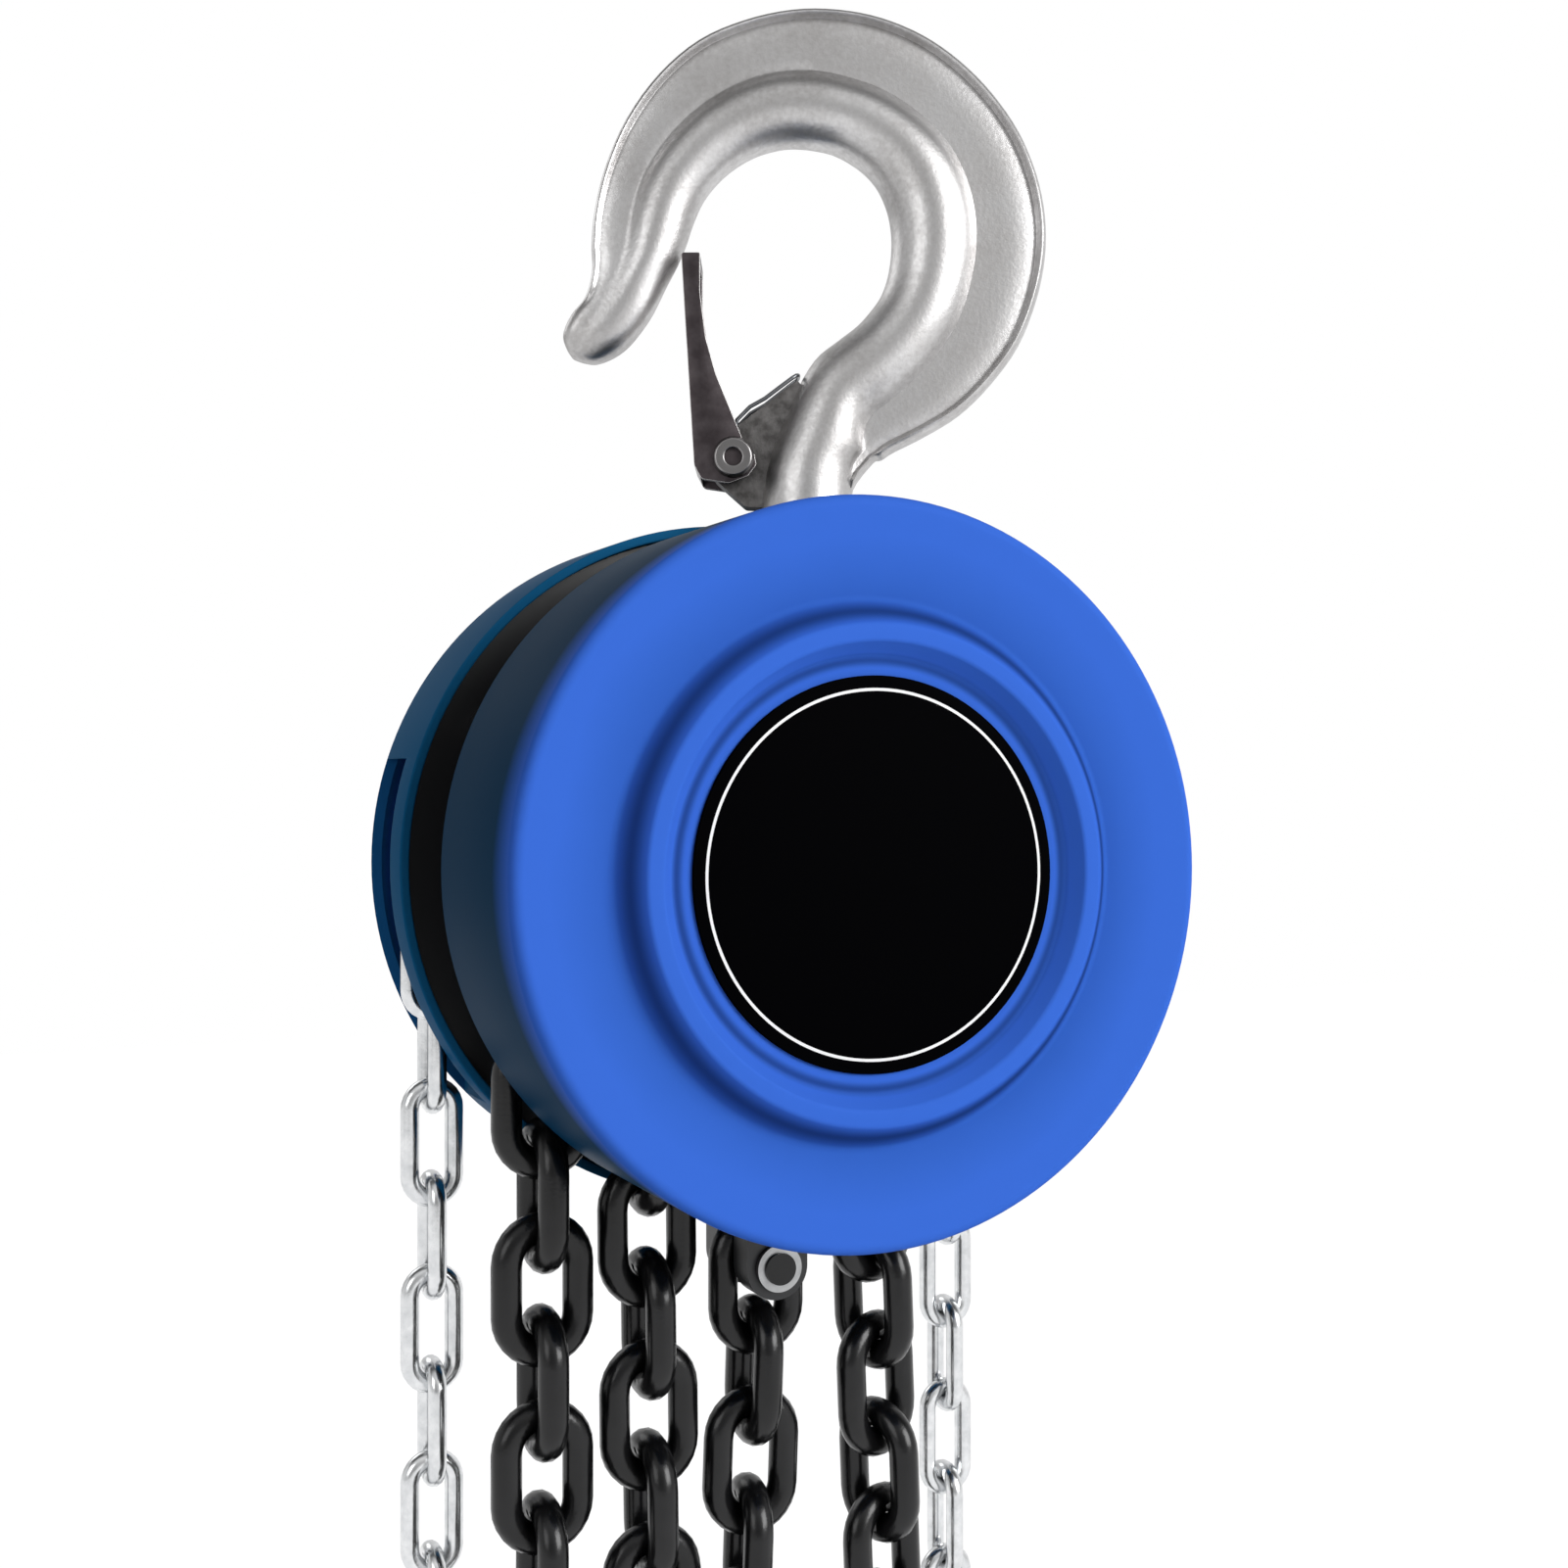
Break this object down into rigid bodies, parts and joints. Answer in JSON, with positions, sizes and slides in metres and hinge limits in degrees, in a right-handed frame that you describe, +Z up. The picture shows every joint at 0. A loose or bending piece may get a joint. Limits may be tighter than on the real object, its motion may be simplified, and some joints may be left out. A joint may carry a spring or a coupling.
{
  "type": "hand chain hoist",
  "caption": "Round-bodied hand chain hoist with swivel hooks and latches, a geared load sheave with its brake, a bottom block on the load chain and an endless hand chain.",
  "frame": {"origin": "the seat of the top hook, on the line that the load hangs from", "axes": "+Z up, -Y towards the gear cover's face and its name plate, +X to the right when facing it"},
  "size_m": [0.1862, 0.139, 0.8145],
  "materials": {
    "blue_paint": "gloss enamel",
    "plate_black": "gloss, with a white ring line",
    "frame_paint": "satin black",
    "forged_steel": "zinc plated forging",
    "bright_steel": "zinc plated",
    "machined_steel": "machined",
    "spring_steel": "drawn wire",
    "cast_iron": "as cast",
    "black_chain": "blackened",
    "zinc_chain": "zinc plated",
    "friction_lining": "bonded lining"
  },
  "bodies": {
    "top_hook": {"top_hook": "forged_steel", "top_hook_nut": "machined_steel", "top_nut_pin": "bright_steel", "top_latch_rivet": "bright_steel", "top_latch_spring": "spring_steel"},
    "top_latch": {"top_latch": "bright_steel"},
    "yoke": {"top_yoke": "frame_paint", "thrust_washer": "bright_steel"},
    "hoist_body": {"gear_side_plate": "frame_paint", "wheel_side_plate": "frame_paint", "top_pin": "machined_steel", "stay_bolts": "machined_steel", "stay_nuts": "bright_steel", "chain_anchor": "frame_paint", "anchor_pin": "bright_steel", "anchor_ring": "bright_steel", "slack_end_pin": "machined_steel", "chain_stripper": "frame_paint", "gear_cover": "blue_paint", "name_plate": "plate_black", "wheel_cover": "blue_paint", "cover_screws": "bright_steel", "sheave_bearings": "machined_steel", "gear_bearing_plate": "machined_steel", "gear_posts": "machined_steel", "pawl_pins": "machined_steel", "pawl_springs": "spring_steel", "load_chain_slack_end": "black_chain", "load_chain_standing_fall": "black_chain", "hand_chain": "zinc_chain"},
    "hand_wheel": {"hand_wheel": "cast_iron", "drive_shaft": "machined_steel", "friction_hub": "machined_steel", "friction_discs": "friction_lining", "wheel_nut": "bright_steel", "wheel_washer": "bright_steel"},
    "ratchet": {"ratchet": "machined_steel"},
    "pawl_left": {"pawl_left": "machined_steel"},
    "pawl_right": {"pawl_right": "machined_steel"},
    "gear_pair_left": {"intermediate_gear_left": "machined_steel", "intermediate_pinion_left": "machined_steel"},
    "gear_pair_right": {"intermediate_gear_right": "machined_steel", "intermediate_pinion_right": "machined_steel"},
    "load_sheave": {"load_sheave": "cast_iron", "load_gear": "machined_steel"},
    "bottom_block": {"block_cheek_gear_side": "frame_paint", "block_cheek_wheel_side": "frame_paint", "block_bolts": "machined_steel", "block_nuts": "bright_steel", "idler_axle": "machined_steel", "crosshead": "frame_paint", "lower_thrust_washer": "bright_steel", "load_chain_live_fall": "black_chain"},
    "idler": {"idler_sheave": "cast_iron"},
    "bottom_hook": {"bottom_hook": "forged_steel", "bottom_hook_nut": "machined_steel", "bottom_nut_pin": "bright_steel", "bottom_latch_rivet": "bright_steel", "bottom_latch_spring": "spring_steel"},
    "bottom_latch": {"bottom_latch": "bright_steel"}
  },
  "joints": [
    {"name": "hook_swivel", "type": "hinge", "parent": "top_hook", "child": "yoke", "pos_m": [0, 0, -0.11], "axis": [0, 0, 1], "continuous": true},
    {"name": "body_tilt", "type": "hinge", "parent": "yoke", "child": "hoist_body", "pos_m": [0, 0, -0.1324], "axis": [0, 1, 0], "range_deg": [-10, 10]},
    {"name": "top_latch_hinge", "type": "hinge", "parent": "top_hook", "child": "top_latch", "pos_m": [-0.01818, 0.00809, -0.085], "axis": [0.4067, 0.9135, 0], "range_deg": [0, 30], "stiffness_Nm_per_rad": 0.15, "springref_deg": -17.19, "deforming": ["top_latch_spring"]},
    {"name": "bottom_latch_hinge", "type": "hinge", "parent": "bottom_hook", "child": "bottom_latch", "pos_m": [0.01818, -0.00809, -0.65256], "axis": [0.4067, 0.9135, 0], "range_deg": [0, 30], "stiffness_Nm_per_rad": 0.15, "springref_deg": -17.19, "deforming": ["bottom_latch_spring"]},
    {"name": "hand_wheel_spin", "type": "hinge", "parent": "hoist_body", "child": "hand_wheel", "pos_m": [-0.016, 0, -0.1934], "axis": [0, -1, 0], "continuous": true, "deforming": ["hand_chain"]},
    {"name": "gear_left_spin", "type": "hinge", "parent": "hoist_body", "child": "gear_pair_left", "pos_m": [-0.0592, 0, -0.1934], "axis": [0, -1, 0], "continuous": true},
    {"name": "gear_right_spin", "type": "hinge", "parent": "hoist_body", "child": "gear_pair_right", "pos_m": [0.0272, 0, -0.1934], "axis": [0, -1, 0], "continuous": true},
    {"name": "load_sheave_spin", "type": "hinge", "parent": "hoist_body", "child": "load_sheave", "pos_m": [-0.016, 0, -0.1934], "axis": [0, -1, 0], "continuous": true, "deforming": ["load_chain_slack_end"]},
    {"name": "ratchet_spin", "type": "hinge", "parent": "hoist_body", "child": "ratchet", "pos_m": [-0.016, 0, -0.1934], "axis": [0, -1, 0], "continuous": true},
    {"name": "pawl_right_hinge", "type": "hinge", "parent": "hoist_body", "child": "pawl_right", "pos_m": [0.02013, 0, -0.15327], "axis": [0, -1, 0], "range_deg": [0, 12], "stiffness_Nm_per_rad": 0.05, "springref_deg": -17.19},
    {"name": "pawl_left_hinge", "type": "hinge", "parent": "hoist_body", "child": "pawl_left", "pos_m": [-0.05213, 0, -0.23353], "axis": [0, -1, 0], "range_deg": [0, 12], "stiffness_Nm_per_rad": 0.05, "springref_deg": -17.19},
    {"name": "block_lift", "type": "slide", "parent": "hoist_body", "child": "bottom_block", "axis": [0, 0, 1], "range_m": [0, 0.036], "deforming": ["load_chain_live_fall", "load_chain_standing_fall"]},
    {"name": "idler_spin", "type": "hinge", "parent": "bottom_block", "child": "idler", "pos_m": [0, 0, -0.56015], "axis": [0, -1, 0], "continuous": true},
    {"name": "bottom_hook_swivel", "type": "hinge", "parent": "bottom_block", "child": "bottom_hook", "pos_m": [0, 0, -0.62], "axis": [0, 0, 1], "continuous": true}
  ],
  "couplings": [
    {"joint": "gear_left_spin", "follows": "hand_wheel_spin", "ratio": -0.22222},
    {"joint": "gear_right_spin", "follows": "hand_wheel_spin", "ratio": -0.22222},
    {"joint": "load_sheave_spin", "follows": "hand_wheel_spin", "ratio": 0.044444},
    {"joint": "idler_spin", "follows": "hand_wheel_spin", "ratio": 0.022222}
  ]
}
